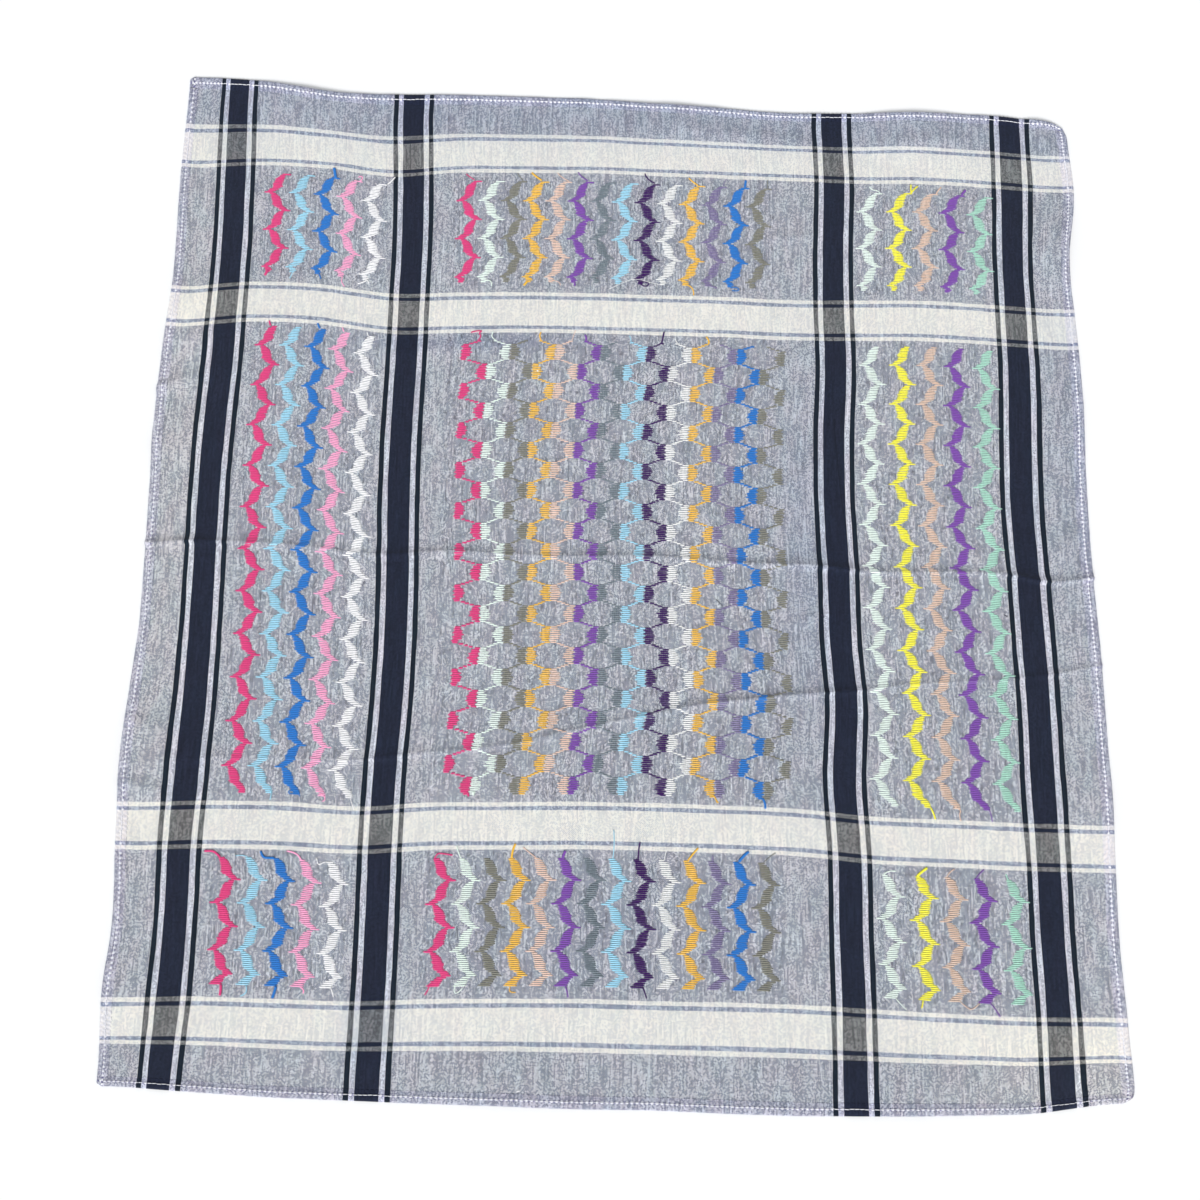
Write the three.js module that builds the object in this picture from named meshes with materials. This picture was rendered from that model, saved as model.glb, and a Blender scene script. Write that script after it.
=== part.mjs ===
// A square cotton bandana laid flat: one woven panel inside four rolled and stitched hems.
// Millimetres, +Z up. +X runs across the warp stripes and +Y along them. The origin is the middle
// of the cloth, on the surface that it lies on.
//
// Every point of the cloth is named by its place on the flat cut: across, up. The function lay()
// takes it to where it lies, with the cloth's small pulls and its creases.

import * as THREE from 'three';

// The flat cut and the cloth
const CUT_WIDTH = 540;
const CUT_HEIGHT = 585;
const CLOTH_THICKNESS = 1;
const HEM_WIDTH = 6;
const SEAM_GAP = 0.3;

// Radii of the four corners, where the turned hems round them off
const CORNER_RADIUS = { topLeft: 3, topRight: 10, bottomLeft: 4, bottomRight: 9 };

// Steps across the cloth, round a hem's ends, and the rows of the panel between its creases
const COLUMN_STEP = 22;
const HEM_END_STEP = 2;
const ROWS = { belowCrease: 9, betweenCreases: 4, aboveFold: 13 };

const PANEL_COLOUR = 0x9ea3b6;
const HEM_COLOUR = 0xa6abbd;

// Thickness of the rolled hem, from its outer fold to its stitched inner edge
const HEM_SECTION = [
  { inward: 0, thickness: 1.0 },
  { inward: 1.2, thickness: 1.7 },
  { inward: 3.4, thickness: 1.9 },
  { inward: HEM_WIDTH, thickness: 1.3 },
];

// Where six warp lines lie, left of straight if negative, at each height up the cloth: its two
// edges and the middles of its four groups of dark stripes
const WARP_LINES = {
  leftEdge: -CUT_WIDTH / 2,
  farLeft: -235,
  nearLeft: -127,
  nearRight: 127,
  farRight: 235,
  rightEdge: CUT_WIDTH / 2,
};
const WARP_PULL = [
  { up: 280, leftEdge: -0.5, farLeft: -5, nearLeft: -6, nearRight: -3, farRight: -0.5, rightEdge: -1 },
  { up: 240, leftEdge: -0.5, farLeft: -3.5, nearLeft: -4, nearRight: -2, farRight: -1.5, rightEdge: 0.5 },
  { up: 200, leftEdge: 0.5, farLeft: -2, nearLeft: -2.5, nearRight: -4, farRight: -3, rightEdge: -4.5 },
  { up: 160, leftEdge: 1.5, farLeft: -1.5, nearLeft: -2.5, nearRight: -4.5, farRight: -3.5, rightEdge: -3 },
  { up: 120, leftEdge: -2, farLeft: -1.5, nearLeft: -2.5, nearRight: -4, farRight: -3.5, rightEdge: -2 },
  { up: 80, leftEdge: -2.5, farLeft: -2.5, nearLeft: -3, nearRight: -5.5, farRight: -4.5, rightEdge: -2.5 },
  { up: 40, leftEdge: -1.5, farLeft: -3, nearLeft: -2.5, nearRight: -6, farRight: -5, rightEdge: -2 },
  { up: 0, leftEdge: -0.5, farLeft: -2, nearLeft: -1, nearRight: -4.5, farRight: -4, rightEdge: -1.5 },
  { up: -40, leftEdge: 0, farLeft: -1, nearLeft: 0, nearRight: -4, farRight: -3, rightEdge: -1 },
  { up: -80, leftEdge: -1, farLeft: -1, nearLeft: -0.5, nearRight: -2, farRight: -2, rightEdge: -0.5 },
  { up: -120, leftEdge: -2.5, farLeft: -1.5, nearLeft: -2.5, nearRight: -4, farRight: -2, rightEdge: 0.5 },
  { up: -160, leftEdge: -1.5, farLeft: -2, nearLeft: -2.5, nearRight: -2, farRight: -1, rightEdge: 0 },
  { up: -200, leftEdge: 0.5, farLeft: -1, nearLeft: -2, nearRight: -2, farRight: -1.5, rightEdge: -0.5 },
  { up: -240, leftEdge: -1.5, farLeft: -1.5, nearLeft: -2, nearRight: -2, farRight: -0.5, rightEdge: 1 },
  { up: -280, leftEdge: 2, farLeft: -2, nearLeft: -2.5, nearRight: -2, farRight: 0, rightEdge: 2.5 },
];

// Where six weft lines lie, below straight if negative, at each place across the cloth: its two
// edges and the middles of its four pale bands
const WEFT_LINES = {
  topEdge: CUT_HEIGHT / 2,
  first: 254,
  second: 151.5,
  third: -151.5,
  fourth: -254,
  lowEdge: -CUT_HEIGHT / 2,
};
const WEFT_PULL = [
  { across: -260, topEdge: 5, first: -2, second: -5, third: -3, fourth: -1.5, lowEdge: 4.5 },
  { across: -220, topEdge: 3.5, first: -0.5, second: -1, third: -2, fourth: -1, lowEdge: 2.5 },
  { across: -180, topEdge: 0, first: -1, second: -1, third: -2, fourth: -1.5, lowEdge: 0.5 },
  { across: -140, topEdge: -2, first: -4, second: -4.5, third: -3, fourth: -2, lowEdge: -0.5 },
  { across: -100, topEdge: -1, first: -1, second: -2.5, third: -0.5, fourth: -1, lowEdge: -1 },
  { across: -60, topEdge: -1, first: -0.5, second: -2, third: 0, fourth: -0.5, lowEdge: -2 },
  { across: -20, topEdge: -1, first: -0.5, second: -2, third: 0, fourth: 0, lowEdge: -3.5 },
  { across: 20, topEdge: -2.5, first: -1, second: -2, third: 0, fourth: -0.5, lowEdge: -5 },
  { across: 60, topEdge: -4, first: -1.5, second: -1.5, third: 0, fourth: -0.5, lowEdge: -5 },
  { across: 100, topEdge: -5.5, first: -2.5, second: -1.5, third: -0.5, fourth: -1, lowEdge: -5 },
  { across: 140, topEdge: -4.5, first: -2.5, second: -1, third: -2.5, fourth: -2, lowEdge: -3.5 },
  { across: 180, topEdge: -3, first: -2, second: -0.5, third: -4, fourth: -3, lowEdge: -2.5 },
  { across: 220, topEdge: -3.5, first: -3.5, second: -3, third: -5, fourth: -4, lowEdge: -1 },
  { across: 260, topEdge: -7, first: -5, second: -4.5, third: -5.5, fourth: -4, lowEdge: 4.5 },
];

// The pressed fold that crosses the middle of the cloth: how far up it lies, how high its crest
// stands, and how wide each flank is
const MIDDLE_FOLD = [
  { across: -270, up: 6, rise: 3.2, flank: 15 },
  { across: -224, up: 2, rise: 2, flank: 13 },
  { across: -116, up: 4, rise: 1.3, flank: 12 },
  { across: -35, up: 0, rise: 1.8, flank: 14 },
  { across: 44, up: 0, rise: 2.4, flank: 15 },
  { across: 111, up: -2, rise: 1.6, flank: 12 },
  { across: 180, up: -4, rise: 1.4, flank: 12 },
  { across: 270, up: -5, rise: 2.2, flank: 14 },
];

// The slanting crease below it, from the right edge until it dies out on the left
const SLANT_CREASE = [
  { across: -270, up: -118, rise: 0.4, flank: 12 },
  { across: -165, up: -115, rise: 0.9, flank: 12 },
  { across: -117, up: -112, rise: 1.5, flank: 13 },
  { across: -58, up: -107, rise: 1.2, flank: 14 },
  { across: 18, up: -90, rise: 2.2, flank: 16 },
  { across: 47, up: -83, rise: 3, flank: 16 },
  { across: 80, up: -78, rise: 3.2, flank: 15 },
  { across: 113, up: -73, rise: 2.6, flank: 13 },
  { across: 220, up: -64, rise: 1.6, flank: 12 },
  { across: 270, up: -57, rise: 1.3, flank: 12 },
];

// The faint fold along the warp, in the middle of the cloth
const WARP_FOLD = [
  { up: -292, across: 2, rise: 1.2, flank: 14 },
  { up: -200, across: 0, rise: 0.6, flank: 13 },
  { up: 0, across: -3, rise: 0.6, flank: 13 },
  { up: 150, across: -5, rise: 1.2, flank: 13 },
  { up: 292, across: -7, rise: 1.5, flank: 14 },
];

// Low swells where the cloth stands off the surface, mostly where its hem draws it up
const SWELLS = [
  { across: -262, up: 150, rise: 2.6, spreadAcross: 34, spreadUp: 26 },
  { across: -266, up: 70, rise: 1.8, spreadAcross: 30, spreadUp: 22 },
  { across: -262, up: -112, rise: 2.4, spreadAcross: 34, spreadUp: 26 },
  { across: -266, up: -238, rise: 1.8, spreadAcross: 30, spreadUp: 22 },
  { across: -190, up: 288, rise: 2, spreadAcross: 34, spreadUp: 26 },
  { across: 30, up: 288, rise: 1.8, spreadAcross: 40, spreadUp: 24 },
  { across: 176, up: 286, rise: 2.2, spreadAcross: 30, spreadUp: 30 },
  { across: 264, up: 206, rise: 2.6, spreadAcross: 32, spreadUp: 24 },
  { across: 266, up: 96, rise: 1.6, spreadAcross: 26, spreadUp: 24 },
  { across: 264, up: -128, rise: 1.9, spreadAcross: 30, spreadUp: 26 },
  { across: 160, up: -286, rise: 2, spreadAcross: 36, spreadUp: 26 },
  { across: -60, up: -288, rise: 1.7, spreadAcross: 38, spreadUp: 24 },
  { across: -200, up: 215, rise: 1.2, spreadAcross: 60, spreadUp: 20 },
  { across: -150, up: 160, rise: 1.4, spreadAcross: 22, spreadUp: 52 },
  { across: 118, up: 40, rise: 1.5, spreadAcross: 20, spreadUp: 64 },
];

// The cloth touches the surface wherever its relief is lower than this
const REST_LEVEL = 0.5;

// Smooth value of one column of a table at a place along it
function readTable(rows, along, column, place) {
  const sorted = rows[0][along] < rows[rows.length - 1][along] ? rows : [...rows].reverse();
  const last = sorted.length - 1;
  const clamped = THREE.MathUtils.clamp(place, sorted[0][along], sorted[last][along]);
  let index = 0;
  while (index < last - 1 && clamped > sorted[index + 1][along]) index += 1;
  const value = (k) => sorted[THREE.MathUtils.clamp(k, 0, last)][column];
  const start = sorted[index][along];
  const t = (clamped - start) / (sorted[index + 1][along] - start);
  const before = value(index - 1);
  const from = value(index);
  const to = value(index + 1);
  const after = value(index + 2);
  const slope = 0.5 * (to - before);
  const nextSlope = 0.5 * (after - from);
  const t2 = t * t;
  const t3 = t2 * t;
  const blend = from * (2 * t3 - 3 * t2 + 1) + to * (3 * t2 - 2 * t3);
  return blend + slope * (t3 - 2 * t2 + t) + nextSlope * (t3 - t2);
}

// How far the cloth is pulled at a point: read between the two lines on either side of it
function pull(lines, table, along, place, crossing) {
  const names = Object.keys(lines).sort((a, b) => lines[a] - lines[b]);
  let index = 0;
  while (index < names.length - 2 && crossing > lines[names[index + 1]]) index += 1;
  const low = names[index];
  const high = names[index + 1];
  const share = THREE.MathUtils.clamp((crossing - lines[low]) / (lines[high] - lines[low]), 0, 1);
  const lowPull = readTable(table, along, low, place);
  const highPull = readTable(table, along, high, place);
  return THREE.MathUtils.lerp(lowPull, highPull, share);
}

// Rounds the cut's corners: the square of one radius at each corner is drawn in to a quarter disc
function roundCorner(across, up) {
  const row = up > 0 ? 'top' : 'bottom';
  const radius = CORNER_RADIUS[row + (across > 0 ? 'Right' : 'Left')];
  const inside = { across: CUT_WIDTH / 2 - radius, up: CUT_HEIGHT / 2 - radius };
  const a = (Math.abs(across) - inside.across) / radius;
  const b = (Math.abs(up) - inside.up) / radius;
  if (a <= 0 || b <= 0) return { across, up };
  const roundAcross = inside.across + radius * a * Math.sqrt(1 - (b * b) / 2);
  const roundUp = inside.up + radius * b * Math.sqrt(1 - (a * a) / 2);
  return { across: Math.sign(across) * roundAcross, up: Math.sign(up) * roundUp };
}

// A pressed crease: a sharp crest with soft feet
function crest(table, along, offset, place, crossing) {
  const distance = Math.abs(crossing - readTable(table, along, offset, place));
  const flank = readTable(table, along, 'flank', place);
  const nearness = Math.max(0, 1 - distance / flank);
  return readTable(table, along, 'rise', place) * nearness * nearness;
}

// Height of the cloth's underside over the surface
function relief(across, up) {
  let height = crest(MIDDLE_FOLD, 'across', 'up', across, up);
  height += crest(SLANT_CREASE, 'across', 'up', across, up);
  height += crest(WARP_FOLD, 'up', 'across', up, across);
  for (const swell of SWELLS) {
    const a = (across - swell.across) / swell.spreadAcross;
    const b = (up - swell.up) / swell.spreadUp;
    height += swell.rise * Math.exp(-a * a - b * b);
  }
  return Math.max(0, height - REST_LEVEL);
}

// Where a point of the flat cut lies
function lay(across, up) {
  const cut = roundCorner(across, up);
  const x = cut.across + pull(WARP_LINES, WARP_PULL, 'up', cut.up, cut.across);
  const y = cut.up + pull(WEFT_LINES, WEFT_PULL, 'across', cut.across, cut.up);
  return { x, y, z: relief(cut.across, cut.up) };
}

// A closed wall over a grid of points, each with its place on the cut and its thickness
function clothWall(name, grid, colour) {
  const rows = grid.length;
  const columns = grid[0].length;
  const positions = [];
  for (const side of [0, 1]) {
    for (const line of grid) {
      for (const { across, up, thickness } of line) {
        const point = lay(across, up);
        positions.push(point.x, point.y, point.z + side * thickness);
      }
    }
  }
  const top = rows * columns;
  const at = (row, column) => row * columns + column;
  const faces = [];
  for (let row = 0; row < rows - 1; row += 1) {
    for (let column = 0; column < columns - 1; column += 1) {
      const a = at(row, column);
      const b = at(row, column + 1);
      const c = at(row + 1, column + 1);
      const d = at(row + 1, column);
      faces.push(a, c, b, a, d, c);
      faces.push(top + a, top + b, top + c, top + a, top + c, top + d);
    }
  }
  const rim = [];
  for (let column = 0; column < columns - 1; column += 1) rim.push(at(0, column));
  for (let row = 0; row < rows - 1; row += 1) rim.push(at(row, columns - 1));
  for (let column = columns - 1; column > 0; column -= 1) rim.push(at(rows - 1, column));
  for (let row = rows - 1; row > 0; row -= 1) rim.push(at(row, 0));
  rim.forEach((a, index) => {
    const b = rim[(index + 1) % rim.length];
    faces.push(a, b, top + b, a, top + b, top + a);
  });
  const geometry = new THREE.BufferGeometry();
  geometry.setAttribute('position', new THREE.Float32BufferAttribute(positions, 3));
  geometry.setIndex(faces);
  geometry.computeVertexNormals();
  const material = new THREE.MeshStandardMaterial({ color: colour, roughness: 0.9, metalness: 0 });
  const mesh = new THREE.Mesh(geometry, material);
  mesh.name = name;
  return mesh;
}

// Even steps from one value to another, both ends included
function steps(from, to, step) {
  const count = Math.max(1, Math.round(Math.abs(to - from) / step));
  return Array.from({ length: count + 1 }, (_, k) => THREE.MathUtils.lerp(from, to, k / count));
}

const halfPanelWidth = CUT_WIDTH / 2 - HEM_WIDTH - SEAM_GAP;
const halfPanelHeight = CUT_HEIGHT / 2 - HEM_WIDTH - SEAM_GAP;
const panelColumns = steps(-halfPanelWidth, halfPanelWidth, COLUMN_STEP);

// The panel's rows follow its two creases, with a row at each crest and on each flank
function panelRows(across) {
  const [slant, middle] = [SLANT_CREASE, MIDDLE_FOLD].map((table) => {
    const up = readTable(table, 'across', 'up', across);
    const flank = readTable(table, 'across', 'flank', across);
    return [up - flank, up - flank / 2, up, up + flank / 2, up + flank];
  });
  const spread = (from, to, count) => steps(from, to, Math.abs(to - from) / count);
  return [
    ...spread(-halfPanelHeight, slant[0], ROWS.belowCrease).slice(0, -1),
    ...slant,
    ...spread(slant[4], middle[0], ROWS.betweenCreases).slice(1, -1),
    ...middle,
    ...spread(middle[4], halfPanelHeight, ROWS.aboveFold).slice(1),
  ];
}

function makePanel() {
  const rowLists = panelColumns.map(panelRows);
  const grid = rowLists[0].map((_, row) => panelColumns.map((across, column) => {
    return { across, up: rowLists[column][row], thickness: CLOTH_THICKNESS };
  }));
  return clothWall('panel', grid, PANEL_COLOUR);
}

// A hem along the top or bottom edge, over the ends of the side hems. Its joints face the panel's.
function makeLevelHem(name, side) {
  const ends = steps(halfPanelWidth, CUT_WIDTH / 2, HEM_END_STEP).slice(1);
  const places = [...ends.map((end) => -end).reverse(), ...panelColumns, ...ends];
  const lines = HEM_SECTION.map(({ inward, thickness }) => places.map((across) => {
    const up = side * (CUT_HEIGHT / 2 - inward);
    return { across, up, thickness };
  }));
  return clothWall(name, side > 0 ? lines.reverse() : lines, HEM_COLOUR);
}

// A hem along the left or right edge, between the other two
function makeUprightHem(name, side) {
  const section = side > 0 ? [...HEM_SECTION].reverse() : HEM_SECTION;
  const lines = panelRows(side * halfPanelWidth).map((up) => section.map(({ inward, thickness }) => {
    const across = side * (CUT_WIDTH / 2 - inward);
    return { across, up, thickness };
  }));
  return clothWall(name, lines, HEM_COLOUR);
}

const group = new THREE.Group();
group.add(makePanel());
group.add(makeLevelHem('hem_top', 1));
group.add(makeLevelHem('hem_bottom', -1));
group.add(makeUprightHem('hem_left', -1));
group.add(makeUprightHem('hem_right', 1));

export default group;
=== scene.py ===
# A square cotton bandana laid flat, dressed over its rigid model. Cloth sizes are in millimetres
# on the flat cut, across and up from its middle, until lay_out() takes them to where they lie.
import math
import random

import bmesh
import bpy
import numpy as np
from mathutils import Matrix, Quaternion, Vector, noise


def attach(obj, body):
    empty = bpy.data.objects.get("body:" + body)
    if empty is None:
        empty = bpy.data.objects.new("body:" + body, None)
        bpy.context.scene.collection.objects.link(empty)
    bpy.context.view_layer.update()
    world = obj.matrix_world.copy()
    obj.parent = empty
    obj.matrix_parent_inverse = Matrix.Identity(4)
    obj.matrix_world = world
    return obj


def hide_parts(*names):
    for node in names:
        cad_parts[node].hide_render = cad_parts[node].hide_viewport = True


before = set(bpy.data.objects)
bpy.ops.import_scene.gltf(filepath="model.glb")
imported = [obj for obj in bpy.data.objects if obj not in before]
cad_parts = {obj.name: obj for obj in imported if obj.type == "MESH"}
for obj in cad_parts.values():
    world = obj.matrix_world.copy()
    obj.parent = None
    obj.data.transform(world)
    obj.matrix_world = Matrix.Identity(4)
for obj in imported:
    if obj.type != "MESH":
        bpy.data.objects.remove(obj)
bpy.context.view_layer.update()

# The panel. Light plain-woven cotton, white weft over blue and white warp, with four groups of navy
# warp stripes and four white weft bands. It is one square with no seams, and it lies as the loom,
# the hems and the hand that spread it leave it: lines pulled a few millimetres, old folds standing.
MM = 0.001
CUT_WIDTH = 540.0
CUT_HEIGHT = 585.0
CORNER_RADII = {(-1, 1): 3.0, (1, 1): 14.0, (-1, -1): 4.0, (1, -1): 9.0}
REST_LEVEL = 0.5

# Both edges and the middles of the four dark stripe groups, then how far each is pulled sideways
# at each height up the cloth, given first. Measured on the photo, to half a millimetre or so.
WARP_LINES = (-270, -235, -127, 127, 235, 270)
WARP_PULL = (
    (280, -0.5, -5.5, -6, -3.5, -1.5, -1),
    (240, -1, -3.5, -4, -2.5, -2, 1),
    (200, 0, -2, -2.5, -4, -3.5, -4.5),
    (160, 0.5, -1.5, -2.5, -4.5, -3.5, -3),
    (120, -2, -1.5, -2.5, -4, -3.5, -1.5),
    (80, -2.5, -2.5, -3, -6, -5, -2),
    (40, -1.5, -3, -2.5, -6.5, -6, -2.5),
    (0, -0.5, -2, -1, -5, -4.5, -2),
    (-40, 0, -1, 0, -4.5, -3.5, -0.5),
    (-80, -2, -0.5, -0.5, -2, -2.5, 0),
    (-120, -3, -1, -2, -4, -2.5, 0.5),
    (-160, -1.5, -2, -2.5, -2, -1.5, 0),
    (-200, 1, -1, -2, -2, -1.5, -0.5),
    (-240, -0.5, -1, -2, -1.5, -0.5, 1),
    (-280, 1, -2.5, -2.5, -1.5, -0.5, 2.5),
)

# The lower edge, two pale bands, the middle, two more pale bands and the upper edge, then how far
# each is pulled up at each place across the cloth, given first. Measured in the same way.
WEFT_LINES = (-292.5, -254, -151.5, 0, 151.5, 254, 292.5)
WEFT_PULL = (
    (-260, 5, -2, -3, -4.5, -5, -3.5, 6),
    (-220, 3, -1, -1.5, -1.5, 0, -1, 4.5),
    (-180, 1, -1.5, -1.5, -1.5, -0.5, -2, -1.5),
    (-140, 0, -2, -3, -5, -5.5, -6, -2),
    (-100, -1, -0.5, 0, -2.5, -4, -2, -1),
    (-60, -1.5, 0.5, 1, -1.5, -2.5, -1, -1),
    (-20, -2.5, 1, 2, -0.5, -2, 0, -1),
    (20, -2.5, 0.5, 2, -0.5, -2, -0.5, -3.5),
    (60, -3.5, 0.5, 1.5, -1, -2, -1, -5),
    (100, -4, 0, 0.5, -2, -3, -1.5, -7),
    (140, -3.5, -1.5, -3, -3.5, -2, -2, -6),
    (180, -2.5, -3, -4, -3.5, -1, -1, -4.5),
    (220, -1, -4, -5, -4.5, -2.5, -2.5, -4.5),
    (260, 4.5, -3.5, -5.5, -6, -4.5, -4.5, -7.5),
)

# The two long creases, at places across the cloth: where the slanting one lies and how high it
# stands, then the same of the old middle fold
CREASES = (
    (-270, -118, 0.3, 7, 2.9),
    (-247, -117, 0.5, 8, 2.9),
    (-224, -116, 0.8, 6, 2.2),
    (-165, -115, 1.3, 4, 2.0),
    (-117, -112, 2.2, 4, 2.5),
    (-92, -111, 2.0, 4, 2.5),
    (-58, -107, 1.9, 2, 2.2),
    (-32, -101, 2.0, 1, 2.5),
    (18, -90, 2.3, 2, 2.5),
    (47, -83, 2.6, 1, 2.3),
    (80, -78, 2.7, 0, 2.5),
    (113, -73, 2.6, 0.5, 2.6),
    (158, -66, 1.7, -1, 2.3),
    (220, -60, 1.4, 0.5, 2.5),
    (247, -55, 1.7, -2.5, 2.8),
    (270, -50, 2.0, 0.5, 2.8),
)
CREASE_BELOW = 2.4
CREASE_ABOVE = 6.5
CREASE_SHARPNESS = 1.7

# Swells and short wrinkles: across, up, height, length, width, and the bearing in degrees of the
# length, counted from level
SWELLS = (
    (-262, 150, 2.6, 34, 26, 0),
    (-266, 70, 1.8, 30, 22, 0),
    (-262, -112, 2.4, 34, 26, 0),
    (-266, -238, 1.8, 30, 22, 0),
    (-190, 288, 2, 34, 26, 0),
    (30, 288, 1.8, 40, 24, 0),
    (176, 286, 2.2, 30, 30, 0),
    (264, 206, 2.6, 32, 24, 0),
    (266, 96, 1.6, 26, 24, 0),
    (264, -128, 1.9, 30, 26, 0),
    (160, -286, 2, 36, 26, 0),
    (-60, -288, 1.7, 38, 24, 0),
    (-200, 215, 1.2, 60, 20, 0),
    (-150, 160, 1.4, 22, 52, 0),
    (118, 40, 1.5, 20, 64, 0),
    (-266, 102, 2.4, 12, 3.5, 24),
    (-251, 107, 1.1, 11, 4, 24),
    (-260, -96, 1.9, 9, 3.5, -18),
    (-256, -131, 2.0, 12, 3.5, -16),
    (-262, -162, 0.9, 10, 4, -20),
    (76, 273, 1.5, 58, 5.5, -3),
    (185, 272, 1.2, 32, 4, 4),
    (254, 291, 1.4, 12, 3.5, -16),
    (256, 276, 2.2, 13, 4.5, -62),
    (264, 196, 2.7, 36, 4, 84),
    (255, 212, 1.2, 24, 5, 86),
    (256, 18, 2.5, 15, 5, 62),
    (262, -14, 1.0, 12, 3.5, 8),
    (100, 204, 1.8, 20, 4, 8),
    (98, 122, 1.9, 24, 4.5, 44),
    (104, 52, 1.4, 18, 4, 36),
    (108, -31, 1.4, 16, 3.5, 22),
    (106, -116, 0.6, 12, 4, -32),
    (-96, 130, 1.3, 38, 5, 3),
    (20, 128, 0.7, 46, 5, -2),
    (-196, 141, 0.9, 34, 5, 0),
    (-250, 133, 1.0, 14, 4, 4),
    (-102, 168, 0.6, 11, 3.5, -62),
    (-40, -280, 0.7, 16, 4, -40),
    (252, -282, 1.4, 14, 3.5, 28),
    (260, -72, 0.8, 9, 3.5, 4),
    (254, -92, 0.7, 7, 3, -6),
    (-259, 256, 1.1, 11, 1.8, 52),
    (-258, 277, 0.9, 12, 4, 70),
)

# Random waves, as length across, length up and seed: puckers that the hems draw up, long waves all
# over, and short ones on these
PUCKERS = (13, 13, 4.5)
PUCKER_HEIGHT = 0.7
PUCKER_REACH = 9
LONG_WAVES = (26, 60, 1.5)
LONG_WAVE_HEIGHT = 0.35
SHORT_WAVES = (9, 14, 7.5)
SHORT_WAVE_HEIGHT = 0.16


def read_table(rows, column, place):
    """Smooth values of one column of a table, at many places along it."""
    table = np.array(sorted(rows), dtype=float)
    stations, values = table[:, 0], table[:, column]
    last = len(stations) - 1
    place = np.clip(place, stations[0], stations[-1])
    k = np.clip(np.searchsorted(stations, place) - 1, 0, last - 1)
    t = (place - stations[k]) / (stations[k + 1] - stations[k])
    start, end = values[k], values[k + 1]
    slope = (end - values[np.maximum(k - 1, 0)]) / 2
    next_slope = (values[np.minimum(k + 2, last)] - start) / 2
    blend = start * (2 * t**3 - 3 * t**2 + 1) + end * (3 * t**2 - 2 * t**3)
    return blend + slope * (t**3 - 2 * t**2 + t) + next_slope * (t**3 - t**2)


def pull(lines, rows, place, crossing):
    """How far the cloth is pulled, read between the two lines on either side of each point."""
    lines = np.array(lines, dtype=float)
    pulls = np.array([read_table(rows, column + 1, place) for column in range(len(lines))])
    k = np.clip(np.searchsorted(lines, crossing) - 1, 0, len(lines) - 2)
    share = np.clip((crossing - lines[k]) / (lines[k + 1] - lines[k]), 0, 1)
    points = np.arange(len(place))
    return pulls[k, points] * (1 - share) + pulls[k + 1, points] * share


def crest(column, across, up):
    """Height of a pressed crease: a sharp crest, steep below it and longer above it."""
    offset = up - read_table(CREASES, column, across)
    flank = np.where(offset > 0, CREASE_ABOVE, CREASE_BELOW)
    share = np.clip(1 - np.abs(offset) / flank, 0, None)
    return read_table(CREASES, column + 1, across) * share**CREASE_SHARPNESS


def ripple(across, up, length_across, length_up, seed):
    """Slow random waves between 0 and 1, longer one way than the other."""
    points = zip(across / length_across, up / length_up)
    return np.array([noise.noise((a, b, seed)) for a, b in points]) * 0.5 + 0.5


def relief(across, up):
    """Height of the cloth's underside over the table."""
    height = crest(1, across, up) + crest(3, across, up)
    for swell_across, swell_up, rise, length, width, bearing in SWELLS:
        turn = math.radians(bearing)
        a, b = across - swell_across, up - swell_up
        lengthwise = (a * math.cos(turn) + b * math.sin(turn)) / length
        sideways = (b * math.cos(turn) - a * math.sin(turn)) / width
        height += rise * np.exp(-lengthwise * lengthwise - sideways * sideways)
    height = np.clip(height - REST_LEVEL, 0, None)
    inside = np.minimum(CUT_WIDTH / 2 - np.abs(across), CUT_HEIGHT / 2 - np.abs(up))
    at_hem = np.exp(-np.clip(inside, 0, None) / PUCKER_REACH)
    height += PUCKER_HEIGHT * at_hem * ripple(across, up, *PUCKERS)
    long_waves = LONG_WAVE_HEIGHT * ripple(across, up, *LONG_WAVES)
    short_waves = SHORT_WAVE_HEIGHT * ripple(across, up, *SHORT_WAVES)
    height += long_waves + short_waves
    return height


def round_corners(across, up):
    """Draws the square of one radius at each corner in to a quarter disc."""
    across, up = across.copy(), up.copy()
    for (side, end), radius in CORNER_RADII.items():
        edge_across, edge_up = CUT_WIDTH / 2 - radius, CUT_HEIGHT / 2 - radius
        a = (across * side - edge_across) / radius
        b = (up * end - edge_up) / radius
        near = (a > 0) & (b > 0)
        round_across = edge_across + radius * a * np.sqrt(np.clip(1 - b * b / 2, 0, 1))
        round_up = edge_up + radius * b * np.sqrt(np.clip(1 - a * a / 2, 0, 1))
        across = np.where(near, side * round_across, across)
        up = np.where(near, end * round_up, up)
    return across, up


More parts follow.
